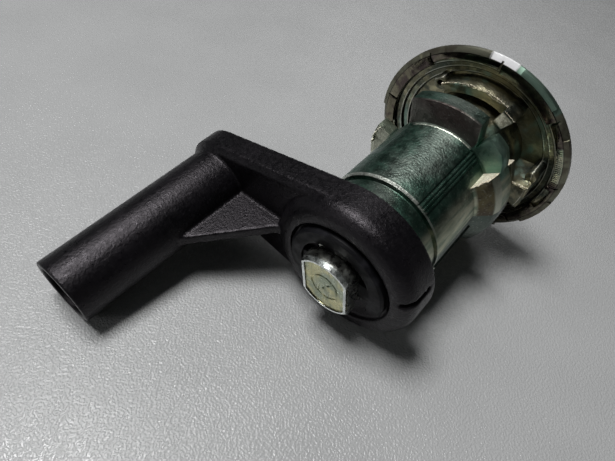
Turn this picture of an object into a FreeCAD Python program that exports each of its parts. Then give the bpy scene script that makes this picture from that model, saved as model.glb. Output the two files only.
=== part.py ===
import FreeCAD, Part
import math
import os

os.makedirs("parts", exist_ok=True)

# Frame in millimetres: the lock axis is Y, the key side faces -Y, the tail faces +Y.
# The barrel starts at y = 0, just behind the bayonet tongue, which points to +Z.

# Pressed front cap
cap_radius = 18.0
rim_y = -10.9
sheet = 0.55
cap_front = rim_y - 5.4
cap_opening_radius = 8.3
cap_edge_height = 1.0
cap_roll = 0.8
cap_roll_drop = 0.2
flat_drop = 0.9
flat_reach = 1.0
overcut = 0.1
tab_pitch = 42.5
tab_first = 14.0
tab_count = 8
tab_cut = 0.35
tab_reach_long = 2.5
tab_reach_short = 2.0
tab_reach_slant = 1.45
slant_from = 187.0
slant_to = 204.0
press_gap = 0.05

# Die cast housing
neck_radius = 9.4
barrel_radius = 10.05
low_radius = 9.72
collar_radius = 9.45
tongue_radius = 14.4
tongue_width = 11.7
tongue_thick = 2.8
barrel_front = 0.0
barrel_length = 15.0
relief_width = 0.6
relief_radius = 9.0
housing_rear = 19.7
step_height = 0.65
step_width = 1.15
ledge_gap = 0.1
bore_clear = 0.05
channel_radius = 8.3
strip_from = 121.5
strip_to = 135.0
low_to = 195.0
rib_count = 3
rib_angle = 1.6
flash_thick = 0.16
lug_front = -2.5
lug_root = 1.0
lug_radius = 13.9
lug_corner_radius = 12.4
side_lug_radius = 13.0
stop_radius = 12.45
stop_edge_radius = 12.0
stop_edge_y = 2.1
stop_rear = 4.2
stop_from = 147.5
stop_to = 220.0
ridge_y = rim_y + 1.0
ridge_inner = 10.7
ridge_outer = 12.5
end_block_y = rim_y + 2.3
end_block_radius = 12.7
flange_y = rim_y + 5.0
flange_thick = 1.3
flange_radius = 11.0
web_y = rim_y + 4.0
web_radius = 13.8
knob_y = rim_y + 2.2
knob_size = 0.95
knob_ring_radius = 13.2
sink_size = 1.15
sink_ring_radius = 12.4

# Plug
plug_radius = 6.5
plug_head_radius = 7.6
plug_head_rear = rim_y - 2.45
plug_front = rim_y - 4.35
shoulder_y = 20.0
tail_radius = 5.5
tail_flat = 3.95
tail_end = 29.5
groove_depth = 0.85
face_sheet = 0.4
face_edge = 0.2
face_rim_gap = 0.3
dish_radius = 5.9
dish_depth = 0.12
head_gap = 0.3
axial_play = 0.08
keyway_width = 2.6
keyway_height = 7.8
keyway_rear = 13.6

# Wafers
wafer_count = 6
wafer_first = -6.9
wafer_pitch = 3.1
wafer_thick = 1.0
wafer_width = 6.7
wafer_slip = 0.05
wafer_top_gap = 0.1
wafer_travel = 0.5
window_width = 3.2
window_height = 5.2
window_step = 0.35
ear_width = 1.4
ear_low = 1.6
ear_high = 2.8
spring_bore = 0.75
spring_floor = -2.9
wafer_wire = 0.1
wafer_spring_radius = 0.5
wafer_spring_turns = 4

# Dust shutter
pin_radius = 0.35
pin_x = 2.35
pin_y = rim_y - 3.55
pin_half = 5.0
curl_radius = 0.75
flap_tip_x = -1.75
flap_half = 3.85
flap_thick = 0.5
curl_gap = 1.3
pocket_gap = 0.25
shutter_wire = 0.11
shutter_turns = 5

# Lever
arm_angle = 5.5
arm_length = 26.7
arm_thick = 4.7
boss_radius = 12.4
boss_height = 6.5
boss_round = 2.4
tip_radius = 6.6
edge_round = 0.8
recess_radius = 9.0
recess_depth = 0.9
lever_fit = 0.06
tube_root_radius = 5.55
tube_end_radius = 5.3
tube_end = 54.3
rod_radius = 4.2
rod_depth = 26.0
web_thick = 1.8
web_tube_y = 38.5
web_boss_x = 12.2
slit_angle = 171.0
spring_room_inner = 7.2
spring_room_outer = 11.0
spring_room_depth = 2.6

# Return spring, its housing leg half a turn from the slit
coil_radius = 8.2
coil_wire = 0.3
slit_width = 2 * coil_wire + 0.12
coil_pitch = 0.95
coil_turns = 1.5
swing = 70.0

# Retaining clip
clip_radius = 8.45
clip_inner = 6.2
clip_thick = 1.5
clip_from = -70.0
clip_to = 201.0
clip_fit = 0.05

UP = FreeCAD.Vector(0, 1, 0)
DOWN = FreeCAD.Vector(0, -1, 0)
ORIGIN = FreeCAD.Vector(0, 0, 0)


def vec(x, y, z):
    return FreeCAD.Vector(x, y, z)


def polar(radius, angle, y):
    """Point at a radius and an angle counted from +X towards +Z."""
    a = math.radians(angle)
    return vec(radius * math.cos(a), y, radius * math.sin(a))


def rod(radius, y0, y1, x=0.0, z=0.0):
    return Part.makeCylinder(radius, y1 - y0, vec(x, y0, z), UP)


def block(x0, x1, y0, y1, z0, z1):
    return Part.makeBox(x1 - x0, y1 - y0, z1 - z0, vec(x0, y0, z0))


def turned(points, start=0.0, sweep=360.0):
    """Solid of revolution about the lock axis from (radius, y) points."""
    outline = [vec(r, y, 0) for r, y in points]
    face = Part.Face(Part.makePolygon(outline + outline[:1]))
    solid = face.revolve(ORIGIN, DOWN, sweep)
    solid.rotate(ORIGIN, DOWN, start)
    return Part.Solid(solid) if solid.ShapeType == "Shell" else solid


def sector(r0, r1, y0, y1, a0, a1):
    return turned([(r0, y0), (r1, y0), (r1, y1), (r0, y1)], a0, a1 - a0)


def about_axis(shape, angle):
    turned_copy = shape.copy()
    turned_copy.rotate(ORIGIN, DOWN, angle)
    return turned_copy


def fused(shapes):
    whole = shapes[0].multiFuse(shapes[1:])
    return whole.removeSplitter()


def plate_about(corners, y0, y1):
    """Plate from (radius, angle) corners, standing between two heights on the lock axis."""
    outline = [polar(radius, angle, y0) for radius, angle in corners]
    face = Part.Face(Part.makePolygon(outline + outline[:1]))
    return face.extrude(vec(0, y1 - y0, 0))


def inset(points, gap):
    """Profile line moved by a gap towards the lock, each corner mitred, the two ends kept square."""
    moved = []
    for k, (r, y) in enumerate(points):
        ways = []
        for (r0, y0), (r1, y1) in (points[max(k - 1, 0):][:2], points[min(k, len(points) - 2):][:2]):
            length = math.hypot(r1 - r0, y1 - y0)
            ways.append(((y0 - y1) / length, (r1 - r0) / length))
        nr = (ways[0][0] + ways[1][0]) / 2
        ny = (ways[0][1] + ways[1][1]) / 2
        size = nr * nr + ny * ny
        moved.append((r + gap * nr / size, y + gap * ny / size))
    return moved


def rounded(radius, y, size, steps=5):
    """Profile points of a rounded outer corner that ends on the face at y."""
    turns = [math.pi / 2 * k / steps for k in range(steps + 1)]
    return [(radius - size + size * math.cos(a), y - size + size * math.sin(a)) for a in turns]


def two_flats(radius, flat, y0, y1):
    """Round bar with two flats square to X."""
    return rod(radius, y0, y1).common(block(-flat, flat, y0, y1, -radius, radius))


def helix_path(mean, pitch, turns, steps, height=0.0):
    """Points of a helix about Z, counted from +X."""
    count = int(round(turns * steps))
    points = []
    for k in range(count + 1):
        a = 2 * math.pi * k / steps
        points.append(vec(mean * math.cos(a), mean * math.sin(a), height + pitch * k / steps))
    return points


def bent_wire(path, wire, sides=6):
    """Solid wire that follows a path, with a facetted round section turned at each bend."""
    rings = []
    side = None
    for k, point in enumerate(path):
        along = (path[min(k + 1, len(path) - 1)] - path[max(k - 1, 0)]).normalize()
        if side is None:
            side = along.cross(vec(0.31, 0.47, 0.82)).normalize()
        side = (side - along * side.dot(along)).normalize()
        other = along.cross(side)
        rings.append([point + side * (wire * math.cos(2 * math.pi * j / sides))
                      + other * (wire * math.sin(2 * math.pi * j / sides)) for j in range(sides)])
    faces = [Part.Face(Part.makePolygon(rings[0] + rings[0][:1])),
             Part.Face(Part.makePolygon(rings[-1] + rings[-1][:1]))]
    for near, far in zip(rings, rings[1:]):
        for j in range(sides):
            n = (j + 1) % sides
            faces.append(Part.Face(Part.makePolygon([near[j], near[n], far[n], near[j]])))
            faces.append(Part.Face(Part.makePolygon([near[j], far[n], far[j], near[j]])))
    shell = Part.makeShell(faces)
    shell.sewShape()
    body = Part.makeSolid(shell)
    if body.Volume < 0:
        body.reverse()
    return body


def placed(shape, base, turn=None):
    moved = shape.copy()
    moved.Placement = FreeCAD.Placement(base, turn or FreeCAD.Rotation())
    return moved


def jagged(a0, a1, radius, y0, lift, teeth, lean=0.0):
    """Thin torn flash that stands on an edge and follows the casting's curve."""
    pieces = []
    step = (a1 - a0) / teeth
    for k in range(teeth):
        rise = lift * (0.45 + 0.55 * abs(math.sin(2.3 * k + 0.8)))
        low = a0 + k * step
        high = low + step * (1.0 + 0.12 * math.sin(1.7 * k))
        foot = radius + lean * math.sin(1.1 * k)
        pieces.append(sector(foot, foot + flash_thick, y0 - 0.2, y0 + rise, low, high))
    return pieces


def export(name, shape):
    shape.exportStep("parts/%s.step" % name)


# Housing, one die casting with its head, neck, tongues, stops and barrel
head_radius = cap_radius - sheet - press_gap
head_rear = rim_y - sheet - press_gap
cap_depth = rim_y - cap_edge_height - cap_front
cap_width = cap_radius - cap_opening_radius
cap_dome = [(cap_opening_radius, cap_front), (cap_opening_radius + 0.48 * cap_width, cap_front + 0.03 * cap_depth),
            (cap_opening_radius + 0.82 * cap_width, cap_front + 0.44 * cap_depth),
            (cap_radius, rim_y - cap_edge_height), (cap_radius, rim_y - cap_roll_drop)]
cap_inside = inset(cap_dome, sheet)
head_outside = inset(cap_dome, sheet + press_gap)
head_front = head_outside[0][1]
tongue_front = barrel_front - tongue_thick
barrel_rear = barrel_front + barrel_length
floor_y = head_rear - 3 * step_height
bore_radius = plug_radius + bore_clear
counterbore_radius = plug_head_radius + face_sheet + head_gap
counterbore_floor = plug_head_rear + axial_play
profile = [(bore_radius, head_front)] + head_outside[1:-1] + [(head_radius, head_rear)]
for k in range(3):
    edge = cap_radius - tab_reach_long - ledge_gap - k * step_width
    profile.append((edge, head_rear - k * step_height))
    profile.append((edge, head_rear - (k + 1) * step_height))
profile += [(neck_radius, floor_y), (neck_radius, tongue_front), (low_radius, tongue_front),
            (low_radius, barrel_rear), (relief_radius, barrel_rear),
            (relief_radius, barrel_rear + relief_width), (collar_radius, barrel_rear + relief_width),
            (collar_radius, housing_rear), (bore_radius, housing_rear)]
casting = [turned(profile)]

# Raised shell of the barrel, left open where the ribbed strip and the low sector lie
casting.append(turned([(relief_radius - 1, barrel_front), (barrel_radius, barrel_front),
                       (barrel_radius, barrel_rear - 0.3), (barrel_radius - 0.3, barrel_rear),
                       (relief_radius - 1, barrel_rear)], low_to, 360.0 + strip_from - low_to))
for k in range(rib_count):
    at = strip_from + (k + 1) * (strip_to - strip_from) / (rib_count + 1) - rib_angle / 2
    casting.append(sector(relief_radius - 1, barrel_radius - 0.08, barrel_front, barrel_rear - 0.3,
                          at, at + rib_angle))

# Bayonet tongue with parallel sides
tongue = block(-tongue_width / 2, tongue_width / 2, tongue_front, barrel_front, 0, tongue_radius)
casting.append(tongue.common(rod(tongue_radius, tongue_front, barrel_front)).cut(
    rod(bore_radius + 1.2, tongue_front, barrel_front)))

# Side lugs and the lower stop with its thin rim
root = neck_radius - lug_root
lug_mid_radius = (lug_radius + lug_corner_radius) / 2 + 0.15
casting.append(plate_about([(root, 122.5), (lug_radius - 1.1, 123.0), (lug_radius - 0.1, 124.7),
                            (lug_radius, 130.0), (lug_radius, 135.5), (lug_mid_radius, 142.0),
                            (lug_corner_radius, 149.0), (root, 153.5)], lug_front, barrel_front))
casting.append(sector(root, side_lug_radius, lug_front, barrel_front, -32.0, 26.0))
casting.append(turned([(root, lug_front), (stop_radius, lug_front), (stop_radius, barrel_front + 0.6),
                       (stop_edge_radius, stop_edge_y), (low_radius - 0.2, stop_rear), (root, stop_rear)],
                      stop_from, stop_to - stop_from))

# Curved ridge under the rim, its end block, the small flange, and a web with a knob
foot = floor_y - 0.2
casting.append(sector(ridge_inner, ridge_outer, foot, ridge_y, 60.0, 127.0))
casting.append(sector(root, end_block_radius, foot, end_block_y, 118.0, 129.0))
casting.append(sector(root, flange_radius, flange_y - flange_thick, flange_y, 157.5, 184.0))
casting.append(sector(root, web_radius, foot, web_y, 180.0, 201.0))
knob_at = polar(knob_ring_radius, 176.6, 0)
casting.append(rod(knob_size, foot, knob_y, knob_at.x, knob_at.z))
sink_at = polar(sink_ring_radius, 58.5, 0)
casting.append(rod(sink_size, foot, ridge_y - 0.4, sink_at.x, sink_at.z))

# Torn flash left by the die on the parting edges
casting += jagged(61.0, 117.0, ridge_outer - 0.3, ridge_y, 0.55, 13, 0.1)
casting += jagged(9.0, 25.0, side_lug_radius - 0.5, barrel_front, 1.1, 5, 0.12)
for radius, y, lift in ((stop_edge_radius - 0.5, stop_edge_y, 0.5), (stop_edge_radius - 1.6, 3.3, 0.35),
                        (flange_radius - 0.6, flange_y, 0.4), (web_radius - 0.8, web_y, 0.4),
                        (web_radius - 2.2, web_y, 0.3)):
    first = stop_from if y > barrel_front else (157.5 if y == flange_y else 180.0)
    casting.append(sector(radius - 0.5, radius + 0.45, y - 0.4, y + lift, first, first + 1.1))
housing = fused(casting)

# Bore, counterbore, wafer channels, sink hole and the groove for the spring leg
channel_front = wafer_first - wafer_pitch / 2
channel_rear = wafer_first + (wafer_count - 0.5) * wafer_pitch
channel_half = wafer_width / 2 + 0.25
leg_angle = slit_angle - 180
leg_groove = sector(coil_radius - coil_wire - 0.2, coil_radius + coil_wire + 0.2,
                    housing_rear - 1.7, housing_rear + 1, leg_angle - swing - 6, leg_angle + swing + 6)
channel = block(-channel_half, channel_half, channel_front, channel_rear, -channel_radius, channel_radius)
hollows = [rod(bore_radius, head_front - 1, housing_rear + 1),
           rod(counterbore_radius, head_front - 1, counterbore_floor),
           channel.common(rod(channel_radius, channel_front, channel_rear)),
           rod(0.52 * sink_size, floor_y + 0.4, ridge_y + 1, sink_at.x, sink_at.z), leg_groove]
housing = housing.cut(hollows)
export("housing", housing)

# Front cap, pressed sheet with its rim crimped over the head in tabs
inner = cap_radius - sheet
tab_y = rim_y - sheet
cap = turned(cap_dome + [(cap_radius - cap_roll, rim_y), (cap_radius - tab_reach_long, rim_y),
                         (cap_radius - tab_reach_long, tab_y), (inner, tab_y)]
             + cap_inside[-2:0:-1] + [(cap_opening_radius, cap_inside[0][1])])
cuts = [sector(cap_radius - 4, cap_radius - tab_reach_slant, tab_y - 0.02, rim_y + 1, slant_from, slant_to)]
for k in range(tab_count):
    at = tab_first + k * tab_pitch
    reach = block(cap_radius - 4, cap_radius - 0.5, tab_y - 0.02, rim_y + 1, -tab_cut / 2, tab_cut / 2)
    cuts.append(about_axis(reach, at))
    if k % 2:
        cuts.append(sector(cap_radius - 4, cap_radius - tab_reach_short, tab_y - 0.02, rim_y + 1,
                           at, at + tab_pitch))
    flat_edge = turned([(cap_radius + overcut, rim_y - flat_drop), (cap_radius + overcut, rim_y + overcut),
                        (cap_radius - flat_reach, rim_y + overcut)],
                       at + 0.84 * tab_pitch, 0.42 * tab_pitch)
    cuts.append(flat_edge)
export("front_cap", cap.cut(cuts))

# Plug with its tail in one piece
tail_face = tail_end - 0.22
plug = fused([rod(plug_head_radius, plug_front, plug_head_rear),
              rod(plug_radius, plug_front, shoulder_y),
              turned([(0, shoulder_y - 1), (tail_radius, shoulder_y - 1), (tail_radius, tail_end - 0.5),
                      (tail_radius - 0.5, tail_end), (0, tail_end)])])
groove_radius = tail_radius - groove_depth
groove_y = shoulder_y + boss_height - recess_depth
side = plug_radius + 1
trim = [block(tail_flat, side, shoulder_y, tail_end + 1, -side, side),
        block(-side, -tail_flat, shoulder_y, tail_end + 1, -side, side),
        rod(side, groove_y, groove_y + clip_thick + 2 * clip_fit).cut(
            rod(groove_radius, groove_y, groove_y + clip_thick + 2 * clip_fit)),
        two_flats(tail_radius - 0.8, tail_flat - 0.45, tail_face, tail_end + 1),
        rod(2.45, tail_face - 0.12, tail_end).cut(rod(2.15, tail_face - 0.12, tail_end)),
        block(-keyway_width / 2, keyway_width / 2, plug_front - 1, keyway_rear,
              -keyway_height / 2, keyway_height / 2)]
for k in range(3):
    mark = block(-0.8, 0.8, tail_face - 0.15, tail_end, -0.14, 0.14)
    mark = about_axis(mark, 128 - 14 * k)
    mark.translate(vec(1.0 * (k - 1), 0, -1.1 * (k - 1)))
    trim.append(mark)
pocket_x0 = flap_tip_x - pocket_gap
pocket_x1 = pin_x + curl_radius + pocket_gap
pocket_rear = pin_y + (pin_x - flap_tip_x) + pocket_gap
trim.append(block(pocket_x0, pocket_x1, plug_front - 1, pocket_rear, -flap_half - 0.15, flap_half + 0.15))
trim.append(Part.makeCylinder(pin_radius, 2 * pin_half, vec(pin_x, pin_y, -pin_half), vec(0, 0, 1)))
slot_half = wafer_width / 2 + wafer_slip
spring_x = wafer_width / 2 + ear_width / 2 + wafer_slip
for k in range(wafer_count):
    y = wafer_first + k * wafer_pitch
    y0 = y - wafer_thick / 2 - wafer_slip
    y1 = y + wafer_thick / 2 + wafer_slip
    trim.append(block(-slot_half, slot_half, y0, y1, -side, side))
    trim.append(block(slot_half - 0.2, wafer_width / 2 + ear_width + 2 * wafer_slip, y0, y1,
                      ear_low - wafer_travel - 0.3, ear_high + 0.1))
    trim.append(Part.makeCylinder(spring_bore, side - spring_floor, vec(spring_x, y, spring_floor),
                                  vec(0, 0, 1)))
export("plug", plug.cut(trim))

# Bright cap drawn over the plug face
face_front = plug_front - press_gap - face_sheet
face = turned([(0, face_front), (plug_head_radius + face_sheet - face_edge, face_front),
               (plug_head_radius + face_sheet, face_front + face_edge),
               (plug_head_radius + face_sheet, plug_head_rear - face_rim_gap),
               (plug_head_radius + press_gap, plug_head_rear - face_rim_gap),
               (plug_head_radius + press_gap, plug_front - press_gap), (0, plug_front - press_gap)])
slot = block(-keyway_width / 2, keyway_width / 2, face_front - 1, plug_front + 1,
             -keyway_height / 2, keyway_height / 2)
dish = rod(dish_radius, face_front - 1, face_front + dish_depth)
export("plug_face_cap", face.cut([slot, dish]))

# Wafers, each with its own window height for the key
for k in range(wafer_count):
    y = wafer_first + k * wafer_pitch
    low = y - wafer_thick / 2
    high = y + wafer_thick / 2
    shift = window_step * ((k * 2) % 3 - 1)
    plate = block(-wafer_width / 2, wafer_width / 2, low, high,
                  -plug_radius + wafer_travel + wafer_top_gap, plug_radius)
    plate = plate.common(rod(plug_radius - wafer_top_gap, low, high))
    plate = plate.common(rod(plug_radius - wafer_top_gap, low, high, 0, wafer_travel))
    ear = block(wafer_width / 2 - 0.3, wafer_width / 2 + ear_width, low, high, ear_low, ear_high)
    window = block(-window_width / 2, window_width / 2, low, high,
                   shift - window_height / 2, shift + window_height / 2)
    export("wafer_%d" % (k + 1), plate.fuse(ear).removeSplitter().cut(window))
    rise = (ear_low - spring_floor - 2 * wafer_wire - 0.02) / wafer_spring_turns
    path = helix_path(wafer_spring_radius, rise, wafer_spring_turns, 6)
    export("wafer_spring_%d" % (k + 1),
           placed(bent_wire(path, wafer_wire, 4), vec(spring_x, y, spring_floor + wafer_wire + 0.01)))

# Dust shutter behind the key slot, its pin and its spring
flap = block(flap_tip_x, pin_x, pin_y - flap_thick / 2, pin_y + flap_thick / 2, -flap_half, flap_half)
curl = Part.makeCylinder(curl_radius, 2 * flap_half, vec(pin_x, pin_y, -flap_half), vec(0, 0, 1))
eye = Part.makeCylinder(pin_radius + 0.05, 2 * flap_half, vec(pin_x, pin_y, -flap_half), vec(0, 0, 1))
gap = block(pin_x - curl_radius - 0.15, pin_x + 1, pin_y - 1, pin_y + 1, -curl_gap, curl_gap)
export("dust_shutter", flap.fuse(curl).removeSplitter().cut([eye, gap]))
export("shutter_pin", Part.makeCylinder(pin_radius, 2 * pin_half, vec(pin_x, pin_y, -pin_half),
                                        vec(0, 0, 1)))
path = helix_path(pin_radius + shutter_wire + 0.08, 0.36, shutter_turns, 6)
path.append(path[-1] + vec(0, 1.1, 0))
export("shutter_spring", placed(bent_wire(path, shutter_wire, 4), vec(pin_x, pin_y, -curl_gap + 0.3)))

# Lever: drop-shaped arm, boss, rod socket and web in one moulding
reach = boss_radius - tip_radius
lean = math.degrees(math.asin(reach / arm_length))
arm_y = shoulder_y + arm_thick
top0 = polar(boss_radius, 90 - lean, shoulder_y)
top1 = polar(tip_radius, 90 - lean, shoulder_y) + vec(arm_length, 0, 0)
low1 = vec(top1.x, shoulder_y, -top1.z)
low0 = vec(top0.x, shoulder_y, -top0.z)
outline = Part.Wire([Part.makeLine(top0, top1),
                     Part.Arc(top1, vec(arm_length + tip_radius, shoulder_y, 0), low1).toShape(),
                     Part.makeLine(low1, low0),
                     Part.Arc(low0, vec(-boss_radius, shoulder_y, 0), top0).toShape()])
plate = Part.Face(outline).extrude(vec(0, arm_thick, 0))
rear_edges = [e for e in plate.Edges if e.BoundBox.YMin > arm_y - 0.01]
plate = plate.makeChamfer(edge_round, rear_edges)
boss_y = shoulder_y + boss_height
boss = turned([(0, shoulder_y), (boss_radius, shoulder_y)] + rounded(boss_radius, boss_y, boss_round)
              + [(0, boss_y)])
tube = Part.makeCone(tube_root_radius, tube_end_radius, tube_end - arm_y + 2,
                     vec(arm_length, arm_y - 2, 0), UP)
web_outline = [vec(web_boss_x - 2, boss_y - 1, -web_thick / 2), vec(web_boss_x, boss_y, -web_thick / 2),
               vec(arm_length - tube_end_radius + 0.5, web_tube_y, -web_thick / 2),
               vec(arm_length - 4.4, web_tube_y, -web_thick / 2),
               vec(arm_length - 4.4, arm_y - 1, -web_thick / 2),
               vec(web_boss_x - 2, arm_y - 1, -web_thick / 2)]
web = Part.Face(Part.makePolygon(web_outline + web_outline[:1])).extrude(vec(0, 0, web_thick))
lever = about_axis(fused([plate, boss, tube, web]), arm_angle)
socket_at = polar(arm_length, arm_angle, 0)
spring_room = rod(spring_room_outer, shoulder_y - 1, shoulder_y + spring_room_depth).cut(
    rod(spring_room_inner, shoulder_y - 1, shoulder_y + spring_room_depth))
slit = about_axis(block(spring_room_outer - 0.5, boss_radius + 1, shoulder_y + 1.2, boss_y + 1,
                        -slit_width / 2, slit_width / 2), slit_angle)
lever = lever.cut([rod(rod_radius, tube_end - rod_depth, tube_end + 1, socket_at.x, socket_at.z),
                   two_flats(tail_radius + lever_fit, tail_flat + lever_fit, shoulder_y - 1, boss_y + 1),
                   rod(recess_radius, boss_y - recess_depth, boss_y + 1), spring_room, slit])
export("lever", lever)

# Return spring in the boss, one leg in the slit and one in the housing groove
coil_base = spring_room_depth - coil_turns * coil_pitch - coil_wire - 0.35
path = [vec(coil_radius, 0, -coil_base - shoulder_y + housing_rear - 1.3)]
path += helix_path(coil_radius, coil_pitch, coil_turns, 16)
path.append(vec(-boss_radius + 0.3, 0, path[-1].z))
spring = placed(bent_wire(path, coil_wire), vec(0, shoulder_y + coil_base, 0),
                FreeCAD.Rotation(vec(1, 0, 0), -90))
export("return_spring", about_axis(spring, slit_angle - 180))

# Retaining clip, open ring with three inner lugs that reach the tail
clip_y0 = groove_y + clip_fit
clip_y1 = clip_y0 + clip_thick
end_radius = (clip_radius - clip_inner) / 2
clip = [turned([(clip_inner, clip_y0), (clip_radius, clip_y0), (clip_radius, clip_y1 - 0.35),
                (clip_radius - 0.35, clip_y1), (clip_inner, clip_y1)], clip_from, clip_to - clip_from)]
for at in (clip_from, clip_to):
    end = polar(clip_radius - end_radius, at, 0)
    clip.append(rod(end_radius, clip_y0, clip_y1 - 0.3, end.x, end.z))
clip.append(sector(groove_radius + clip_fit, clip_inner + 0.3, clip_y0, clip_y1 - 0.4, 68, 112))
for sign in (-1, 1):
    lug = block(tail_flat + clip_fit, clip_inner + 0.3, clip_y0, clip_y1 - 0.4, -1.5, 1.5)
    clip.append(lug if sign > 0 else about_axis(lug, 180))
export("retaining_clip", fused(clip))
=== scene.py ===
import bmesh
import bpy
import math
from mathutils import Matrix, Vector


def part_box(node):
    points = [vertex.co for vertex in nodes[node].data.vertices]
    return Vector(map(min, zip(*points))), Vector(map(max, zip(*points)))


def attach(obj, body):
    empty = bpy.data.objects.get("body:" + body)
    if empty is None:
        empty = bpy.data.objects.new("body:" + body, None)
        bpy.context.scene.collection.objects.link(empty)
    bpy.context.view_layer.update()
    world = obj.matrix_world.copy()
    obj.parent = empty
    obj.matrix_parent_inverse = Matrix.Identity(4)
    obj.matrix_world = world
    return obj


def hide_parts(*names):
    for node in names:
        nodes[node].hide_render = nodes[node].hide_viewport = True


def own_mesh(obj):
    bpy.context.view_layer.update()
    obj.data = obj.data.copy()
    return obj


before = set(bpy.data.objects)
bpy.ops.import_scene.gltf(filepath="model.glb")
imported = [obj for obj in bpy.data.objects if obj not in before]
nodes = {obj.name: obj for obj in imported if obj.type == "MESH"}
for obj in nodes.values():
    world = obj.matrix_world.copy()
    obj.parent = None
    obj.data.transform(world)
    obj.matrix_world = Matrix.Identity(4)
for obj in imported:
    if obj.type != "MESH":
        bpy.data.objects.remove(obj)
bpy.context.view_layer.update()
scene = bpy.context.scene
MM = 0.001

# Lock sizes that the dressed pieces share: the back of the crimped rim, the radii of the steps in
# the head and the barrel's least radius, in millimetres, then the wafers' count, and their travel
# and the wire of their springs in metres
RIM_Y = -10.9
LEDGES = (15.4, 14.25, 13.1)
LEAST_BARREL = 9.6
WAFERS = 6
SPRING_WIRE = 0.1 * MM


def around(radius, angle, y):
    """Point in metres at a radius and an angle counted from +X towards +Z."""
    a = math.radians(angle)
    return Vector((radius * math.cos(a), y, radius * math.sin(a))) * MM


def added(name, data):
    """A new object in the scene that holds the data."""
    obj = bpy.data.objects.new(name, data)
    scene.collection.objects.link(obj)
    return obj


# Camera, solved from the photograph: its place, then its own right, up and back
CAMERA_SPOT = Vector((-0.026321, 0.059824, 0.057921))
camera_data = bpy.data.cameras.new("camera")
camera_data.lens = 28.77
camera_data.sensor_width = 36
camera_data.clip_start = 0.001
camera_data.clip_end = 10
camera = added("camera", camera_data)
right = Vector((-0.75858, -0.65014, -0.04333))
up = Vector((0.46638, -0.58820, 0.66068))
back = Vector((-0.45502, 0.48097, 0.74941))
turn = Matrix((right, up, back)).transposed()
camera.matrix_world = Matrix.Translation(CAMERA_SPOT) @ turn.to_4x4()
scene.camera = camera


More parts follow.
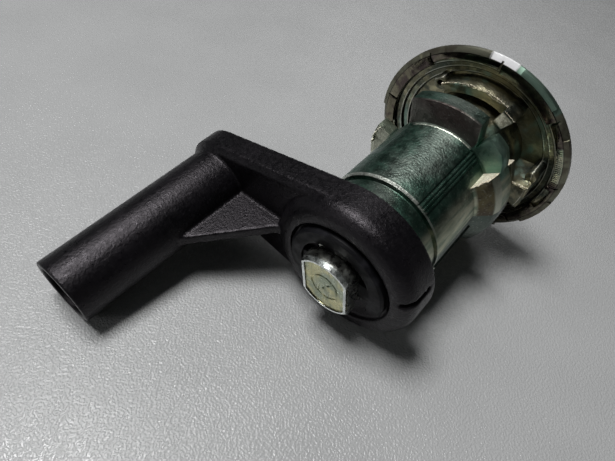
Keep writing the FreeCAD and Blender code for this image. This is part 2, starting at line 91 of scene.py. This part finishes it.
# Node tools for the finishes
class Finish:
    """A Principled material whose patterns read the piece's own coordinates."""

    def __init__(self, name, metallic, roughness, specular=0.5):
        """The plain values hold where no pattern feeds the socket."""
        self.material = bpy.data.materials.new(name)
        self.material.use_nodes = True
        self.tree = self.material.node_tree
        self.shader = self.tree.nodes["Principled BSDF"]
        self.shader.inputs["Metallic"].default_value = metallic
        self.shader.inputs["Roughness"].default_value = roughness
        self.shader.inputs["Specular IOR Level"].default_value = specular
        self.place = self.node("ShaderNodeTexCoord").outputs["Object"]

    def node(self, kind, **settings):
        made = self.tree.nodes.new(kind)
        for key, value in settings.items():
            setattr(made, key, value)
        return made

    def link(self, source, target):
        """Feeds a socket from another socket, or sets it to a plain value."""
        if hasattr(source, "is_output"):
            self.tree.links.new(source, target)
        else:
            target.default_value = source

    def noise(self, scale, detail=4.0, roughness=0.55, stretch=None, distortion=0.0):
        made = self.node("ShaderNodeTexNoise")
        made.inputs["Scale"].default_value = scale
        made.inputs["Detail"].default_value = detail
        made.inputs["Roughness"].default_value = roughness
        made.inputs["Distortion"].default_value = distortion
        spot = self.place
        if stretch:
            mapping = self.node("ShaderNodeMapping")
            mapping.inputs["Scale"].default_value = stretch
            self.link(self.place, mapping.inputs["Vector"])
            spot = mapping.outputs["Vector"]
        self.link(spot, made.inputs["Vector"])
        return made.outputs["Fac"]

    def span(self, value, low, high, out_low=0.0, out_high=1.0):
        """Smooth step between two outputs while the value runs from low to high."""
        made = self.node("ShaderNodeMapRange", clamp=True, interpolation_type="SMOOTHSTEP")
        self.link(value, made.inputs["Value"])
        made.inputs["From Min"].default_value = low
        made.inputs["From Max"].default_value = high
        made.inputs["To Min"].default_value = out_low
        made.inputs["To Max"].default_value = out_high
        return made.outputs["Result"]

    def between(self, value, low, high, soft):
        """Mask of the values from low to high, soft at both ends."""
        rise = self.span(value, low - soft, low + soft)
        fall = self.span(value, high - soft, high + soft, 1.0, 0.0)
        return self.math("MULTIPLY", rise, fall)

    def math(self, operation, *values):
        made = self.node("ShaderNodeMath", operation=operation)
        for k, value in enumerate(values):
            self.link(value, made.inputs[k])
        return made.outputs["Value"]

    def all_of(self, *masks):
        """Mask of the places where every mask holds."""
        made = masks[0]
        for mask in masks[1:]:
            made = self.math("MULTIPLY", made, mask)
        return made

    def mix(self, factor, first, second):
        made = self.node("ShaderNodeMix", data_type="RGBA")
        self.link(factor, made.inputs[0])
        for value, slot in ((first, made.inputs[6]), (second, made.inputs[7])):
            self.link(value if hasattr(value, "is_output") else (*value, 1.0), slot)
        return made.outputs[2]

    def tones(self, pattern, low, high, first, second):
        """Two tones that follow a pattern."""
        return self.mix(self.span(pattern, low, high), first, second)

    def laid(self, color, tone, *masks, amount=1.0):
        """A tone laid over a color where the masks hold, in full or in part."""
        where = self.all_of(*masks)
        if amount < 1.0:
            where = self.math("MULTIPLY", where, amount)
        return self.mix(where, color, tone)

    def axes(self):
        """Finds y and the radius about the lock axis in millimetres, and the angle in degrees."""
        split = self.node("ShaderNodeSeparateXYZ")
        self.link(self.place, split.inputs[0])
        x, self.y, z = (self.math("DIVIDE", split.outputs[k], MM) for k in range(3))
        squares = self.math("ADD", self.math("MULTIPLY", x, x), self.math("MULTIPLY", z, z))
        self.radius = self.math("SQRT", squares)
        self.angle = self.math("DEGREES", self.math("ARCTAN2", z, x))

    def bump(self, height, strength, distance, under=None):
        made = self.node("ShaderNodeBump")
        made.inputs["Strength"].default_value = strength
        made.inputs["Distance"].default_value = distance
        self.link(height, made.inputs["Height"])
        if under:
            self.link(under, made.inputs["Normal"])
        return made.outputs["Normal"]

    def less_metallic(self, amount, *masks):
        """Full metal, but less of it by an amount where the masks hold."""
        return self.math("SUBTRACT", 1.0, self.math("MULTIPLY", self.all_of(*masks), amount))

    def set(self, **sockets):
        names = {"color": "Base Color", "roughness": "Roughness", "normal": "Normal",
                 "metallic": "Metallic"}
        for key, value in sockets.items():
            self.link(value, self.shader.inputs[names[key]])
        return self.material


def barrel_tones(f, clouds, drift):
    """Green barrel, barer on top and pale below, with painted shade in the ribbed groove and a painted
    highlight along the rear edge.
    """
    wandering = f.math("ADD", f.angle, f.math("MULTIPLY", f.math("SUBTRACT", drift, 0.5), 60.0))
    bare = f.between(wandering, 79.0, 112.0, 9.0)
    green = f.between(wandering, 20.0, 150.0, 12.0)
    color = f.mix(f.math("SUBTRACT", green, bare), (0.1, 0.127, 0.11), (0.07, 0.147, 0.112))
    color = f.mix(f.span(clouds, 0.4, 0.9, 0.0, 0.5), color, (0.2, 0.235, 0.2))
    # Painted shade: the ribbed groove darkened where shade falls between the ribs.
    ribbed_groove_shade = (f.between(f.angle, 121.8, 134.7, 0.2), f.span(f.radius, 9.9, 9.7),
            f.between(f.y, 0.1, 14.8, 0.1))
    color = f.laid(color, (0.02, 0.04, 0.035), *ribbed_groove_shade, amount=0.55)
    # Painted highlight: a pale band along the barrel's rear edge, where the edge catches the light.
    rear_edge_highlight = (f.between(f.y, 14.65, 15.05, 0.08), f.span(f.radius, 9.6, 9.8))
    color = f.laid(color, (0.86, 0.9, 0.82), *rear_edge_highlight, amount=0.8)
    streaks = f.noise(520, 3.0, stretch=(1.0, 0.16, 1.0))
    pale = f.tones(streaks, 0.4, 0.62, (0.26, 0.33, 0.24), (0.66, 0.66, 0.5))
    return f.laid(color, pale, f.between(f.angle, 148.0, 181.0, 9.0), amount=0.85)


def rear_face_tones(f, color, clouds, drift):
    """Faces of the tongue, stops, rim and side lugs that look back, each with its own stain, and a painted
    highlight along the tongue's corner.
    """
    tongue = (f.between(f.y, -0.4, 0.6, 0.3), f.span(f.radius, 10.1, 10.6),
              f.between(f.angle, 50.0, 121.0, 1.0))
    color = f.laid(color, f.tones(drift, 0.35, 0.65, (0.12, 0.095, 0.09), (0.26, 0.26, 0.23)), *tongue)
    # Painted highlight: a bright line on the fillet where the tongue meets the barrel.
    corner = (f.between(f.y, -0.2, 0.2, 0.08), f.between(f.radius, 9.85, 10.4, 0.08),
              f.between(f.angle, 60.0, 120.0, 2.0))
    color = f.laid(color, (0.8, 0.84, 0.76), *corner)
    stop = (f.between(f.y, 1.9, 4.4, 0.3), f.span(f.radius, 9.9, 10.3),
            f.between(f.angle, 147.9, 182.0, 1.0))
    color = f.laid(color, f.tones(clouds, 0.4, 0.62, (0.1, 0.083, 0.06), (0.2, 0.175, 0.1)), *stop)
    upper_stop = (f.between(f.angle, 121.0, 154.0, 1.0), f.span(f.radius, 10.1, 10.4),
                  f.between(f.y, -2.7, 0.4, 0.2))
    color = f.laid(color, f.tones(clouds, 0.4, 0.6, (0.17, 0.31, 0.245), (0.28, 0.42, 0.34)), *upper_stop)
    lugs = f.all_of(f.between(f.angle, -33.0, 27.0, 1.0), f.span(f.radius, 10.1, 10.6))
    color = f.laid(color, (0.36, 0.4, 0.31), lugs, amount=0.7)
    color = f.laid(color, (0.84, 0.82, 0.68), lugs, f.span(f.y, -0.2, 0.3))
    thin_rim = (f.between(f.y, 0.4, 1.8, 0.3), f.span(f.radius, 11.9, 12.1),
                f.between(f.angle, 148.5, 182.0, 1.0))
    return f.laid(color, (0.5, 0.52, 0.42), *thin_rim)


def head_tones(f):
    """Brown, yellow and green patches in the head, painted shade at the foot of each step with a painted
    highlight beside it, and where its bare block is.
    """
    patches = f.noise(190, 4.0, distortion=0.8)
    color = f.tones(patches, 0.36, 0.64, (0.33, 0.31, 0.21), (0.1, 0.115, 0.095))
    color = f.laid(color, (0.62, 0.58, 0.38), f.span(f.noise(330, 3.0), 0.54, 0.74))
    greened = f.span(f.noise(260, 2.0, stretch=(1.0, 1.0, 0.6)), 0.56, 0.7)
    color = f.laid(color, (0.32, 0.45, 0.38), greened)
    for ledge in LEDGES:
        # Painted shade: a dark band at the foot of each step; painted highlight: a bright band along its
        # edge.
        ledge_shade = f.between(f.radius, ledge - 0.16, ledge + 0.1, 0.06)
        color = f.laid(color, (0.03, 0.03, 0.022), ledge_shade, f.span(f.y, -10.8, -11.2))
        ledge_highlight = f.between(f.radius, ledge + 0.14, ledge + 0.26, 0.05)
        color = f.laid(color, (0.86, 0.86, 0.76), ledge_highlight, f.span(patches, 0.4, 0.55), amount=0.8)
    block = f.all_of(f.between(f.angle, 118.2, 128.8, 0.3), f.between(f.radius, 9.8, 12.1, 0.2),
                     f.between(f.y, -8.8, -8.3, 0.1))
    bare = f.tones(f.noise(1500, 3.0), 0.42, 0.6, (0.9, 0.87, 0.72), (0.5, 0.47, 0.35))
    return f.laid(color, bare, block), block


def zinc_finish():
    """Die-cast zinc with a shiny skin, stained zone by zone, with painted shade and painted highlights at
    some edges and steps, and sparse bright specks.
    """
    f = Finish("zinc casting", 1.0, 0.3)
    f.axes()
    clouds = f.noise(230, 3.0)
    drift = f.noise(110, 3.0)
    color = rear_face_tones(f, barrel_tones(f, clouds, drift), clouds, drift)
    inside, block = head_tones(f)
    color = f.laid(color, inside, f.span(f.y, -3.3, -6.2))
    color = f.laid(color, (0.62, 0.66, 0.6), f.span(f.noise(2600, 2.0), 0.58, 0.7), amount=0.2)
    rough = f.span(f.noise(700, 4.0), 0.3, 0.7, 0.28, 0.46)
    skin = f.bump(f.noise(420, 3.0), 0.07, 0.0003)
    return f.set(color=color, roughness=rough, metallic=f.less_metallic(0.7, block),
                 normal=f.bump(f.noise(2900, 3.0), 0.8, 0.00008, skin))


def bright_sheet(name, tint, dull):
    """Bright-plated sheet with faint drawing lines and a slight haze, before any stain."""
    f = Finish(name, 1.0, 0.15)
    haze = f.noise(160, 3.0)
    rings = f.noise(1500, 2.0, stretch=(0.15, 1.0, 0.15))
    rough = f.math("ADD", f.span(haze, 0.35, 0.7, 0.1, 0.24), f.span(rings, 0.55, 0.75, 0.0, 0.08))
    hammer = f.bump(f.noise(300, 2.0), 0.25, 0.0003)
    return f, f.tones(haze, 0.4, 0.62, tint, dull), rough, f.bump(rings, 0.12, 0.00004, hammer)


def face_finish():
    """Polished cap of the plug, as bright as the front of the lock."""
    f, color, rough, normal = bright_sheet("bright face", (0.78, 0.78, 0.76), (0.66, 0.66, 0.63))
    return f.set(color=color, roughness=rough, normal=normal)


def cap_finish():
    """Bright front cap whose crimped back is stained brown and beige, tab by tab, with painted shade on
    the rim's outer facets, green on some, and a painted highlight on one facet.
    """
    f, color, rough, normal = bright_sheet("bright cap", (0.68, 0.68, 0.62), (0.48, 0.49, 0.42))
    f.axes()
    stained = f.span(f.noise(420, 3.0, distortion=0.5), 0.42, 0.6)
    tabs = f.mix(stained, (0.2, 0.185, 0.135), (0.1, 0.08, 0.075))
    beige = f.mix(stained, (0.5, 0.5, 0.38), (0.34, 0.38, 0.29))
    tabs = f.laid(tabs, beige, f.between(f.angle, 157.0, 184.5, 0.6))
    behind = f.span(f.y, -11.8, -11.3)
    color = f.laid(color, tabs, behind)
    # Painted shade: the rim's outer facets darkened, green on some of them, and one facet made white and
    # less metallic as a painted highlight.
    facet_shade_and_highlight = f.mix(stained, (0.2, 0.2, 0.15), (0.12, 0.11, 0.085))
    facet_shade_and_highlight = f.laid(facet_shade_and_highlight, (0.19, 0.28, 0.225), f.between(f.angle, 107.0, 138.0, 0.6))
    facet_highlight = f.between(f.angle, 92.0, 107.0, 0.6)
    facet_shade_and_highlight = f.laid(facet_shade_and_highlight, (0.96, 0.96, 0.97), facet_highlight)
    edge = f.all_of(f.span(f.radius, 17.12, 17.25), f.between(f.y, -12.4, -10.6, 0.2))
    color = f.laid(color, facet_shade_and_highlight, edge)
    fold = f.between(f.radius, 17.08, 17.22, 0.05)
    color = f.laid(color, (0.03, 0.028, 0.024), fold, behind, amount=0.85)
    dull_edge = f.math("SUBTRACT", edge, facet_highlight)
    rough = f.math("ADD", rough, f.span(dull_edge, 0.0, 1.0, 0.0, 0.3))
    return f.set(color=color, roughness=rough, metallic=f.less_metallic(0.75, edge, facet_highlight),
                 normal=normal)


def tail_finish():
    """Passivated zinc on the plug: olive end face in a pale border, with a dark line of painted shade on
    the step between.
    """
    f = Finish("zinc plug", 1.0, 0.28)
    f.axes()
    clouds = f.noise(330, 4.0)
    side = f.tones(clouds, 0.4, 0.66, (0.5, 0.51, 0.48), (0.3, 0.31, 0.28))
    border = f.tones(clouds, 0.4, 0.66, (0.84, 0.87, 0.85), (0.6, 0.64, 0.62))
    sunk = f.tones(clouds, 0.42, 0.6, (0.56, 0.54, 0.32), (0.36, 0.41, 0.31))
    scratches = f.noise(1700, 3.0, stretch=(1.0, 1.0, 0.12))
    sunk = f.mix(f.span(scratches, 0.54, 0.68, 0.0, 0.6), sunk, (0.2, 0.22, 0.15))
    color = f.laid(side, border, f.span(f.y, 28.8, 29.1))
    color = f.laid(color, sunk, f.between(f.y, 29.0, 29.36, 0.02), f.span(f.radius, 4.8, 4.72))
    # Painted shade: the wall of the step down to the sunk face, painted nearly black.
    wall = (f.between(f.y, 29.31, 29.48, 0.02), f.span(f.radius, 4.9, 4.8))
    color = f.laid(color, (0.05, 0.05, 0.05), *wall)
    turned = f.bump(f.math("SINE", f.math("MULTIPLY", f.radius, 9.0)), 0.08, 0.00004)
    rough = f.span(f.noise(900, 3.0), 0.3, 0.7, 0.2, 0.4)
    return f.set(color=color, roughness=rough, normal=f.bump(f.noise(1100, 4.0), 0.5, 0.00012, turned))


def nylon_finish():
    """Black glass-filled nylon: a fine matt grain with sparse pale fibre flecks."""
    f = Finish("black nylon", 0.0, 0.5, 0.3)
    f.shader.inputs["Specular Tint"].default_value = (1.0, 0.93, 1.0, 1.0)
    color = f.tones(f.noise(110, 2.0), 0.35, 0.7, (0.0015, 0.0015, 0.002), (0.004, 0.0035, 0.0045))
    flecks = f.span(f.noise(3300, 3.0, stretch=(1.0, 0.6, 1.0)), 0.58, 0.76)
    color = f.laid(color, (0.05, 0.047, 0.055), flecks, amount=0.25)
    rough = f.span(f.noise(1500, 3.0), 0.3, 0.7, 0.27, 0.44)
    return f.set(color=color, roughness=rough, normal=f.bump(f.noise(2400, 4.0, 0.65), 0.75, 0.00012))


def clip_finish():
    """Blackened clip, nearly dull, with a faint lighter bloom."""
    f = Finish("black clip", 0.0, 0.5, 0.14)
    color = f.tones(f.noise(500, 3.0), 0.45, 0.72, (0.004, 0.004, 0.005), (0.015, 0.015, 0.018))
    rough = f.span(f.noise(1200, 3.0), 0.3, 0.7, 0.36, 0.56)
    return f.set(color=color, roughness=rough, normal=f.bump(f.noise(1800, 3.0), 0.25, 0.00005))


def plain_metal(name, first, second, scale, rough_low, rough_high, stretch=(1.0, 1.0, 1.0)):
    """Stamped or drawn metal: two close tones, drawing lines and a slight unevenness."""
    f = Finish(name, 1.0, rough_low)
    tone = f.noise(scale, 3.0, stretch=stretch)
    rough = f.span(f.noise(scale * 2.3, 3.0), 0.3, 0.7, rough_low, rough_high)
    return f.set(color=f.tones(tone, 0.38, 0.64, first, second), roughness=rough,
                 normal=f.bump(tone, 0.2, 0.00003))


def flash_finish():
    """Fresh torn edge of the casting, bright and warm where the die flash broke."""
    f = Finish("torn zinc", 0.4, 0.4)
    tone = f.noise(1900, 4.0)
    color = f.tones(tone, 0.36, 0.62, (0.93, 0.86, 0.7), (0.66, 0.6, 0.46))
    return f.set(color=color, roughness=f.span(tone, 0.3, 0.7, 0.25, 0.5),
                 normal=f.bump(f.noise(2400, 4.0), 0.7, 0.0001))


def table_finish():
    """Pale grey table top with a fine leathery grain."""
    f = Finish("table top", 0.0, 0.5, 0.4)
    color = f.tones(f.noise(60, 2.0), 0.3, 0.7, (0.39, 0.396, 0.397), (0.41, 0.416, 0.417))
    pores = f.span(f.noise(2800, 1.0, 0.4), 0.36, 0.64)
    rough = f.span(f.noise(900, 2.0), 0.3, 0.7, 0.2, 0.34)
    return f.set(color=color, roughness=rough, normal=f.bump(pores, 0.52, 0.00009))


ZINC = zinc_finish()
CAP = cap_finish()
FACE = face_finish()
TAIL = tail_finish()
NYLON = nylon_finish()
CLIP = clip_finish()
FLASH = flash_finish()
SHUTTER = plain_metal("shutter sheet", (0.6, 0.6, 0.57), (0.48, 0.48, 0.47), 500, 0.24, 0.4)
PIN = plain_metal("drawn pin", (0.56, 0.56, 0.55), (0.44, 0.44, 0.44), 900, 0.2, 0.34)
SPRING = plain_metal("spring wire", (0.42, 0.42, 0.44), (0.3, 0.3, 0.32), 1500, 0.24, 0.4)
WAFER = plain_metal("wafer brass", (0.74, 0.58, 0.26), (0.62, 0.47, 0.2), 400, 0.24, 0.4,
                    stretch=(1.0, 1.0, 0.2))


# Mesh tools
def settled(obj):
    """The object with its modifiers made plain mesh."""
    bpy.context.view_layer.update()
    graph = bpy.context.evaluated_depsgraph_get()
    mesh = bpy.data.meshes.new_from_object(obj.evaluated_get(graph))
    obj.modifiers.clear()
    obj.data = mesh
    return obj


def given(obj, material):
    """Gives a piece one material in place of what it had."""
    obj.data.materials.clear()
    obj.data.materials.append(material)


def finished(obj, material, body, stands_for=(), sharp=35.0):
    """Shades a piece, seats it on its body and says which CAD nodes it stands for."""
    given(obj, material)
    obj.data.shade_smooth()
    obj.data.set_sharp_from_angle(angle=math.radians(sharp))
    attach(obj, body)
    if stands_for:
        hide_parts(*stands_for)


def copied(node, name):
    """A merged copy of a CAD node, flat faces joined."""
    mesh = nodes[node].data.copy()
    work = bmesh.new()
    work.from_mesh(mesh)
    bmesh.ops.remove_doubles(work, verts=work.verts, dist=2e-6)
    bmesh.ops.dissolve_limit(work, angle_limit=math.radians(0.5), verts=work.verts, edges=work.edges)
    work.to_mesh(mesh)
    work.free()
    return added(name, mesh)


def edge_broken(obj, width, angle=32.0, segments=2, beyond=None):
    """Rounds the sharp edges, or only those that lie beyond a height on the lock axis."""
    bevel = obj.modifiers.new("edges", "BEVEL")
    bevel.width = width * MM
    bevel.segments = segments
    bevel.miter_outer = "MITER_ARC"
    bevel.angle_limit = math.radians(angle)
    if beyond is None:
        bevel.limit_method = "ANGLE"
        return settled(obj)
    bevel.limit_method = "WEIGHT"
    work = bmesh.new()
    work.from_mesh(obj.data)
    weight = work.edges.layers.float.new("bevel_weight_edge")
    for edge in work.edges:
        high = min(v.co.y for v in edge.verts) > beyond * MM
        if high and len(edge.link_faces) == 2 and edge.calc_face_angle(0) > math.radians(angle):
            edge[weight] = 1.0
    work.to_mesh(obj.data)
    work.free()
    return settled(obj)


def moulded(obj, voxel, rounds):
    """Moulding-like rounding of every edge, inside and outside corners alike."""
    remesh = obj.modifiers.new("skin", "REMESH")
    remesh.mode = "VOXEL"
    remesh.voxel_size = voxel * MM
    smooth = obj.modifiers.new("soft", "SMOOTH")
    smooth.iterations = rounds
    smooth.factor = 0.5
    return settled(obj)


# Lever, clip and plug
lever = moulded(copied("lever", "lever_moulding"), voxel=0.24, rounds=4)
finished(lever, NYLON, "plug", ["lever"], sharp=180.0)
clip = edge_broken(copied("retaining_clip", "clip_ring"), width=0.12)
finished(clip, CLIP, "plug", ["retaining_clip"])
plug = edge_broken(copied("plug", "plug_and_tail"), width=0.3, angle=25.0, segments=4, beyond=28.9)
finished(plug, TAIL, "plug", ["plug"])

# Housing and front cap
housing = edge_broken(copied("housing", "housing_casting"), width=0.12, angle=40.0)
finished(housing, ZINC, "housing", ["housing"])
cap = edge_broken(copied("front_cap", "cap_pressing"), width=0.12, angle=40.0)
finished(cap, CAP, "housing", ["front_cap"])

# Sheared ends of the casting: least and greatest angle in degrees and y in millimetres of each, and
# how squarely a face must look along the way round to be one
SHEARED = {"stop end": (146.9, 148.1, -2.6, 4.3), "flange end": (156.8, 158.2, -7.3, -5.8),
           "web end": (179.3, 180.7, -12.0, -6.8)}
SQUARE_ENOUGH = 0.7


def give_sheared_faces(obj, material):
    """Gives the sheared ends of the casting their own bright, warm finish."""
    obj.data.materials.append(material)
    for face in obj.data.polygons:
        centre = face.center / MM
        angle = math.degrees(math.atan2(centre.z, centre.x))
        sideways = Vector((-centre.z, 0, centre.x)).normalized()
        squarely = abs(face.normal.dot(sideways)) > SQUARE_ENOUGH and centre.xz.length > LEAST_BARREL
        for first, last, low, high in SHEARED.values():
            if squarely and first <= angle <= last and low <= centre.y <= high:
                face.material_index = 1


give_sheared_faces(housing, FLASH)


class Tree:
    """A Geometry Nodes tree with named inputs, run once on an object and then made plain mesh."""

    def __init__(self, name, **sizes):
        self.tree = bpy.data.node_groups.new(name, "GeometryNodeTree")
        face = self.tree.interface
        face.new_socket("Geometry", in_out="INPUT", socket_type="NodeSocketGeometry")
        self.names = {}
        for key, (label, value) in sizes.items():
            kind = "NodeSocketInt" if isinstance(value, int) else "NodeSocketFloat"
            made = face.new_socket(label, in_out="INPUT", socket_type=kind)
            made.default_value = value
            self.names[key] = (made.identifier, label)
        face.new_socket("Geometry", in_out="OUTPUT", socket_type="NodeSocketGeometry")
        self.inputs = self.tree.nodes.new("NodeGroupInput")
        self.end = self.tree.nodes.new("NodeGroupOutput")

    def size(self, key):
        """The named input as a socket."""
        return self.inputs.outputs[self.names[key][1]]

    def node(self, kind, settings=None, **values):
        made = self.tree.nodes.new(kind)
        for key, value in (settings or {}).items():
            setattr(made, key, value)
        for key, value in values.items():
            target = made.inputs[key.replace("_", " ")]
            if hasattr(value, "is_output"):
                self.tree.links.new(value, target)
            else:
                target.default_value = value
        return made.outputs

    def close(self, instances, material):
        """Ends the tree with real geometry in its material."""
        real = self.node("GeometryNodeRealizeInstances", Geometry=instances)
        painted = self.node("GeometryNodeSetMaterial", Geometry=real[0], Material=material)
        self.tree.links.new(painted[0], self.end.inputs[0])

    def run(self, obj, **values):
        """Runs the tree on an object with these sizes and keeps the plain mesh."""
        work = obj.modifiers.new("pattern", "NODES")
        work.node_group = self.tree
        for key, value in values.items():
            work[self.names[key][0]] = value
        return settled(obj)


def crumb_tree(material):
    """Crumbs of torn metal, strewn along the edges that the object's lines mark."""
    t = Tree("torn edge", spacing=("Spacing", 0.2 * MM), size=("Crumb size", 0.2 * MM),
             seed=("Seed", 3))
    line = t.node("GeometryNodeMeshToCurve", Mesh=t.inputs.outputs[0])
    dots = t.node("GeometryNodeResampleCurve", {"mode": "LENGTH"}, Curve=line[0], Length=t.size("spacing"))
    crumb = t.node("GeometryNodeMeshIcoSphere", Radius=t.size("size"), Subdivisions=1)
    shape = t.node("FunctionNodeRandomValue", {"data_type": "FLOAT_VECTOR"}, Seed=t.size("seed"))
    least, greatest = shape[0].node.inputs[0], shape[0].node.inputs[1]
    least.default_value = (0.35, 0.3, 0.6)
    greatest.default_value = (0.9, 0.8, 1.5)
    roll = t.node("FunctionNodeRandomValue", {"data_type": "FLOAT_VECTOR"}, Seed=t.size("seed"))
    roll[0].node.inputs[1].default_value = (math.tau, math.tau, math.tau)
    strewn = t.node("GeometryNodeInstanceOnPoints", Points=dots[0], Instance=crumb[0],
                    Rotation=roll[0], Scale=shape[0])
    t.close(strewn[0], material)
    return t


def line_object(name, lines):
    """An object made of open lines, each a list of points in metres."""
    mesh = bpy.data.meshes.new(name)
    points, edges = [], []
    for line in lines:
        edges += [(len(points) + k, len(points) + k + 1) for k in range(len(line) - 1)]
        points += line
    mesh.from_pydata(points, edges, [])
    return added(name, mesh)


def arc(radius, first, last, y, steps=24):
    """Points along an arc about the lock axis, between two angles."""
    return [around(radius, first + (last - first) * k / steps, y) for k in range(steps + 1)]


# Broken edges: down the stop's end, across the flange's and the web's ends, along the ridge's crest
# and over its end block
STOP_END = ((12.35, 0.2), (12.3, 0.7), (11.8, 2.1), (10.6, 3.4), (9.8, 4.15))
torn = line_object("torn_edges", [
    [around(radius, 147.45, y) for radius, y in STOP_END],
    [around(LEAST_BARREL, 157.45, -5.95), around(10.9, 157.45, -5.95)],
    [around(LEAST_BARREL, 179.95, -6.95), around(13.65, 179.95, -6.95)],
    arc(12.4, 61.0, 126.0, -9.95), arc(12.5, 118.5, 128.5, -8.65, steps=8)])
torn = crumb_tree(FLASH).run(torn, spacing=0.17 * MM, size=0.17 * MM, seed=5)
finished(torn, FLASH, "housing", sharp=60.0)


def serration_tree(material):
    """Fine bars set square across a curved line, as a press tool marks them."""
    t = Tree("serrations", count=("Count", 40), length=("Length", 1.0 * MM),
             width=("Width", 0.2 * MM), height=("Height", 0.1 * MM))
    line = t.node("GeometryNodeMeshToCurve", Mesh=t.inputs.outputs[0])
    dots = t.node("GeometryNodeCurveToPoints", {"mode": "COUNT"}, Curve=line[0], Count=t.size("count"))
    box = t.node("ShaderNodeCombineXYZ", X=t.size("length"), Y=t.size("height"), Z=t.size("width"))
    bar = t.node("GeometryNodeMeshCube", Size=box[0])
    heading = t.node("FunctionNodeAlignRotationToVector", {"axis": "Z", "pivot_axis": "Y"},
                     Vector=dots["Tangent"])
    row = t.node("GeometryNodeInstanceOnPoints", Points=dots[0], Instance=bar[0], Rotation=heading[0])
    t.close(row[0], material)
    return t


marks = line_object("tab_serrations", [arc(16.45, 158.5, 183.5, RIM_Y)])
marks = serration_tree(CAP).run(marks, count=19, length=0.95 * MM, width=0.17 * MM, height=0.1 * MM)
finished(marks, CAP, "housing")


def coil_tree(material):
    """Round wire wound in a coil that stands on its end along Z."""
    t = Tree("coil spring", turns=("Turns", 4.0), coil=("Coil radius", 0.5 * MM),
             wire=("Wire radius", 0.1 * MM), height=("Height", 4.0 * MM))
    path = t.node("GeometryNodeCurveSpiral", Resolution=20, Rotations=t.size("turns"),
                  Height=t.size("height"), Start_Radius=t.size("coil"), End_Radius=t.size("coil"))
    section = t.node("GeometryNodeCurvePrimitiveCircle", Resolution=8, Radius=t.size("wire"))
    wire = t.node("GeometryNodeCurveToMesh", Curve=path[0], Profile_Curve=section[0], Fill_Caps=True)
    t.close(wire[0], material)
    return t


# Wafers and their springs, each spring squeezed by its own wafer's ear
coil = coil_tree(SPRING)
for k in range(1, WAFERS + 1):
    given(nodes["wafer_%d" % k], WAFER)
    name = "wafer_spring_%d" % k
    low, high = (Vector(corner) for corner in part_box(name))
    spring = line_object("wafer_coil_%d" % k, [[low, high]])
    coil.run(spring, turns=4.0, coil=(high.x - low.x) / 2 - SPRING_WIRE, wire=SPRING_WIRE,
             height=high.z - low.z - 2 * SPRING_WIRE)
    middle = (low + high) / 2
    spring.data.transform(Matrix.Translation((middle.x, middle.y, low.z + SPRING_WIRE)))
    finished(spring, SPRING, "plug", [name], sharp=60.0)
    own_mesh(spring)

# Nodes whose own shape is right
for name, material in (("plug_face_cap", FACE), ("dust_shutter", SHUTTER), ("shutter_pin", PIN),
                       ("shutter_spring", SPRING), ("return_spring", SPRING)):
    given(nodes[name], material)

# Table, tilted so that it touches the rim, the boss and the tube's end: how far it lies under the
# lock axis and half its width, in metres
TABLE_DROP = 0.01604
TABLE_HALF = 1.2
table_up = Vector((-0.18136, -0.15587, 0.97099)).normalized()
table_mesh = bpy.data.meshes.new("table")
work = bmesh.new()
bmesh.ops.create_grid(work, x_segments=1, y_segments=1, size=TABLE_HALF)
work.to_mesh(table_mesh)
work.free()
table = added("table", table_mesh)
tilt = table_up.to_track_quat("Z", "Y").to_matrix().to_4x4()
table.matrix_world = Matrix.Translation(table_up * -TABLE_DROP) @ tilt
table.data.materials.append(table_finish())


# Room light: a window overhead, a far wall and a little from the side
LOCK_MIDDLE = Vector((0.005, 0.015, 0))


def lamp(name, toward, distance, size, watts, tint=(1, 1, 1)):
    """Area lamp that faces the middle of the lock from a direction and a distance."""
    data = bpy.data.lights.new(name, "AREA")
    data.shape = "RECTANGLE"
    data.size = size[0]
    data.size_y = size[1]
    data.energy = watts
    data.color = tint
    obj = added(name, data)
    way = Vector(toward).normalized()
    obj.location = LOCK_MIDDLE + way * distance
    obj.rotation_mode = "QUATERNION"
    obj.rotation_quaternion = way.to_track_quat("Z", "Y")


away = (up - table_up * up.dot(table_up)).normalized()
across = (right - table_up * right.dot(table_up)).normalized()
lamp("window", (0.13, 0.02, 1.0), 0.5, (0.2, 0.15), 2.6, (1.0, 0.995, 0.995))
lamp("far wall", table_up * 0.45 + away * 0.75 + across * 0.4, 0.6, (0.3, 0.2), 0.28)
lamp("room side", (0.25, 0.82, 0.52), 0.5, (0.14, 0.1), 0.2)

world = bpy.data.worlds.new("room")
scene.world = world
world.use_nodes = True
room = world.node_tree.nodes["Background"]
room.inputs["Color"].default_value = (0.92, 0.97, 0.95, 1.0)
room.inputs["Strength"].default_value = 0.035

scene.view_settings.view_transform = "Standard"
